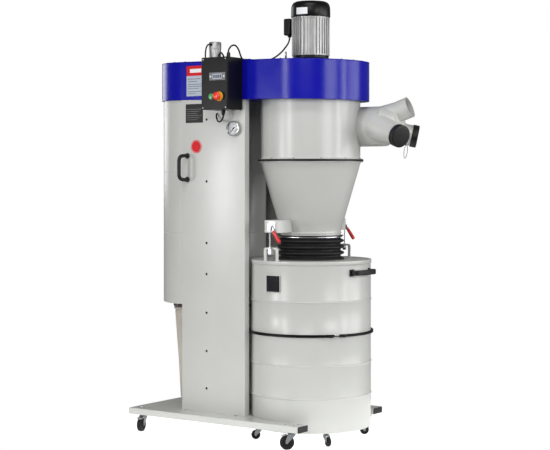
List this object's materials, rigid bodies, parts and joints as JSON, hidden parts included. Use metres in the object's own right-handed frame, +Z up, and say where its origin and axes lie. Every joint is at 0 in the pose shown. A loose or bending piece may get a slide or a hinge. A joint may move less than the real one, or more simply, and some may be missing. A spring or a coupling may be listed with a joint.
{
  "type": "cyclone dust collector",
  "caption": "Wheeled workshop cyclone dust collector: finned motor over a long blower housing, cyclone with roll-out drum, enclosed filter with collection bag, branched inlet and control box.",
  "frame": {"origin": "centre of the footprint of the part's bounding box, on the floor", "axes": "+Z up; +X along the base towards the drum's open side, where the inlet is; -Y is the front with the controls"},
  "size_m": [1.3243, 0.792, 2.064],
  "materials": {
    "grey_paint": "light warm grey satin powder coat",
    "blue_paint": "deep blue satin paint",
    "black_plastic": "black moulded plastic",
    "black_paint": "black satin paint",
    "black_rubber": "black rubber",
    "tread_rubber": "black wheel tread",
    "zinc": "bright zinc plated steel",
    "cast_aluminium": "grey cast aluminium",
    "red_grip": "red plastic grip",
    "red_button": "glossy red plastic",
    "green_button": "glossy green plastic",
    "bag_fabric": "beige woven fabric",
    "filter_media": "pleated off-white filter media",
    "window_pane": "dark clear plastic pane",
    "gauge_case": "bright metal case"
  },
  "bodies": {
    "frame": {"bag_clamp_band": "black_rubber", "base_frame": "grey_paint", "bellows": "black_rubber", "blower_housing": "blue_paint", "blower_top_cover": "blue_paint", "cleaner_cable": "black_rubber", "cleaning_motor": "black_paint", "collection_bag": "bag_fabric", "control_box": "black_paint", "control_loop_cable": "black_rubber", "cyclone_barrel": "grey_paint", "cyclone_cone": "grey_paint", "cyclone_gasket": "black_rubber", "filter_cartridge": "filter_media", "filter_housing": "grey_paint", "fork_end_cap_front": "black_plastic", "fork_end_cap_rear": "black_plastic", "front_column": "grey_paint", "inlet_manifold": "grey_paint", "motor_cable": "black_rubber", "motor_fan_cowl": "black_paint", "motor_housing": "cast_aluminium", "motor_terminal_box": "black_paint", "pressure_gauge": "gauge_case", "push_handle": "black_plastic", "rear_column": "grey_paint"},
    "rotor": {"motor_shaft": "cast_aluminium", "impeller": "cast_aluminium"},
    "cleaner": {"cleaner_shaft": "zinc"},
    "start": {"start_button": "green_button"},
    "stop": {"stop_button": "red_button"},
    "needle": {"gauge_needle": "black_plastic"},
    "cap_front": {"port_cap_front": "black_plastic"},
    "cap_side": {"port_cap_side": "black_plastic"},
    "lid": {"drum_lid": "grey_paint"},
    "lever_front": {"toggle_lever_front": "red_grip"},
    "lever_rear": {"toggle_lever_rear": "red_grip"},
    "rod_front": {"toggle_rod_front": "zinc"},
    "rod_rear": {"toggle_rod_rear": "zinc"},
    "drum": {"drum_lower": "grey_paint", "drum_upper": "grey_paint", "drum_clamp_ring": "black_paint", "drum_window": "window_pane", "drum_handle": "black_plastic"},
    "base_swivel_1": {"base_caster_fork_1": "zinc"},
    "base_wheel_1": {"base_caster_wheel_1": "tread_rubber"},
    "base_swivel_2": {"base_caster_fork_2": "zinc"},
    "base_wheel_2": {"base_caster_wheel_2": "tread_rubber"},
    "base_swivel_3": {"base_caster_fork_3": "zinc"},
    "base_wheel_3": {"base_caster_wheel_3": "tread_rubber"},
    "base_swivel_4": {"base_caster_fork_4": "zinc"},
    "base_wheel_4": {"base_caster_wheel_4": "tread_rubber"},
    "drum_swivel_1": {"drum_caster_fork_1": "zinc"},
    "drum_wheel_1": {"drum_caster_wheel_1": "tread_rubber"},
    "drum_swivel_2": {"drum_caster_fork_2": "zinc"},
    "drum_wheel_2": {"drum_caster_wheel_2": "tread_rubber"},
    "drum_swivel_3": {"drum_caster_fork_3": "zinc"},
    "drum_wheel_3": {"drum_caster_wheel_3": "tread_rubber"},
    "drum_swivel_4": {"drum_caster_fork_4": "zinc"},
    "drum_wheel_4": {"drum_caster_wheel_4": "tread_rubber"}
  },
  "joints": [
    {"name": "impeller_spin", "type": "hinge", "parent": "frame", "child": "rotor", "pos_m": [0.1692, 0.029, 1.7], "axis": [0, 0, 1], "continuous": true},
    {"name": "cleaner_spin", "type": "hinge", "parent": "frame", "child": "cleaner", "pos_m": [-0.4008, 0.029, 1.7], "axis": [0, 0, 1], "continuous": true},
    {"name": "start_press", "type": "slide", "parent": "frame", "child": "start", "axis": [0, 1, 0], "range_m": [0, 0.004], "stiffness_N_per_m": 300, "springref_m": -0.002},
    {"name": "stop_press", "type": "slide", "parent": "frame", "child": "stop", "axis": [0, 1, 0], "range_m": [0, 0.006]},
    {"name": "needle_turn", "type": "hinge", "parent": "frame", "child": "needle", "pos_m": [-0.0828, -0.247, 1.46], "axis": [0, 1, 0], "range_deg": [0, 270]},
    {"name": "port_cap_front_pull", "type": "slide", "parent": "frame", "child": "cap_front", "axis": [0.9057, -0.2982, -0.3012], "range_m": [0, 0.05]},
    {"name": "port_cap_side_pull", "type": "slide", "parent": "frame", "child": "cap_side", "axis": [0.8419, 0.5011, -0.2004], "range_m": [0, 0.05]},
    {"name": "lid_lift", "type": "slide", "parent": "frame", "child": "lid", "axis": [0, 0, 1], "range_m": [0, 0.012], "deforming": ["bellows"]},
    {"name": "rod_front_lift", "type": "slide", "parent": "frame", "child": "rod_front", "axis": [0, 0, 1], "range_m": [0, 0.012]},
    {"name": "lever_front_swing", "type": "hinge", "parent": "frame", "child": "lever_front", "pos_m": [0.1292, -0.245, 1.004], "axis": [0, -1, 0], "range_deg": [0, 94]},
    {"name": "rod_rear_lift", "type": "slide", "parent": "frame", "child": "rod_rear", "axis": [0, 0, 1], "range_m": [0, 0.012]},
    {"name": "lever_rear_swing", "type": "hinge", "parent": "frame", "child": "lever_rear", "pos_m": [0.1832, 0.303, 1.004], "axis": [0, -1, 0], "range_deg": [0, 94]},
    {"name": "drum_roll", "type": "slide", "parent": "frame", "child": "drum", "axis": [1, 0, 0], "range_m": [0, 0.75]},
    {"name": "base_swivel_1_turn", "type": "hinge", "parent": "frame", "child": "base_swivel_1", "pos_m": [-0.5908, -0.297, 0.09], "axis": [0, 0, 1], "continuous": true},
    {"name": "base_wheel_1_spin", "type": "hinge", "parent": "base_swivel_1", "child": "base_wheel_1", "pos_m": [-0.58511, -0.31825, 0.033], "axis": [0.9659, 0.2588, 0], "continuous": true},
    {"name": "base_swivel_2_turn", "type": "hinge", "parent": "frame", "child": "base_swivel_2", "pos_m": [0.2842, -0.299, 0.09], "axis": [0, 0, 1], "continuous": true},
    {"name": "base_wheel_2_spin", "type": "hinge", "parent": "base_swivel_2", "child": "base_wheel_2", "pos_m": [0.26616, -0.31159, 0.033], "axis": [0.5721, -0.8202, 0], "continuous": true},
    {"name": "base_swivel_3_turn", "type": "hinge", "parent": "frame", "child": "base_swivel_3", "pos_m": [0.2842, 0.357, 0.09], "axis": [0, 0, 1], "continuous": true},
    {"name": "base_wheel_3_spin", "type": "hinge", "parent": "base_swivel_3", "child": "base_wheel_3", "pos_m": [0.26515, 0.368, 0.033], "axis": [-0.5, -0.866, 0], "continuous": true},
    {"name": "base_swivel_4_turn", "type": "hinge", "parent": "frame", "child": "base_swivel_4", "pos_m": [-0.5908, 0.355, 0.09], "axis": [0, 0, 1], "continuous": true},
    {"name": "base_wheel_4_spin", "type": "hinge", "parent": "base_swivel_4", "child": "base_wheel_4", "pos_m": [-0.61147, 0.34748, 0.033], "axis": [0.342, -0.9397, 0], "continuous": true},
    {"name": "drum_swivel_1_turn", "type": "hinge", "parent": "drum", "child": "drum_swivel_1", "pos_m": [0.36224, -0.13298, 0.05], "axis": [0, 0, 1], "continuous": true},
    {"name": "drum_wheel_1_spin", "type": "hinge", "parent": "drum_swivel_1", "child": "drum_wheel_1", "pos_m": [0.37637, -0.14049, 0.0215], "axis": [0.4695, 0.8829, 0], "continuous": true},
    {"name": "drum_swivel_2_turn", "type": "hinge", "parent": "drum", "child": "drum_swivel_2", "pos_m": [0.33118, 0.22204, 0.05], "axis": [0, 0, 1], "continuous": true},
    {"name": "drum_wheel_2_spin", "type": "hinge", "parent": "drum_swivel_2", "child": "drum_wheel_2", "pos_m": [0.34431, 0.2312, 0.0215], "axis": [-0.5721, 0.8202, 0], "continuous": true},
    {"name": "drum_swivel_3_turn", "type": "hinge", "parent": "drum", "child": "drum_swivel_3", "pos_m": [-0.02384, 0.19098, 0.05], "axis": [0, 0, 1], "continuous": true},
    {"name": "drum_wheel_3_spin", "type": "hinge", "parent": "drum_swivel_3", "child": "drum_wheel_3", "pos_m": [-0.03888, 0.19645, 0.0215], "axis": [-0.342, -0.9397, 0], "continuous": true},
    {"name": "drum_swivel_4_turn", "type": "hinge", "parent": "drum", "child": "drum_swivel_4", "pos_m": [0.00722, -0.16404, 0.05], "axis": [0, 0, 1], "continuous": true},
    {"name": "drum_wheel_4_spin", "type": "hinge", "parent": "drum_swivel_4", "child": "drum_wheel_4", "pos_m": [-0.00591, -0.1732, 0.0215], "axis": [0.5721, -0.8202, 0], "continuous": true}
  ],
  "couplings": [
    {"joint": "rod_front_lift", "follows": "lid_lift", "ratio": 1},
    {"joint": "rod_rear_lift", "follows": "lid_lift", "ratio": 1},
    {"joint": "lever_front_swing", "follows": "lid_lift", "rad_per_m": 136.5},
    {"joint": "lever_rear_swing", "follows": "lid_lift", "rad_per_m": 136.5}
  ]
}
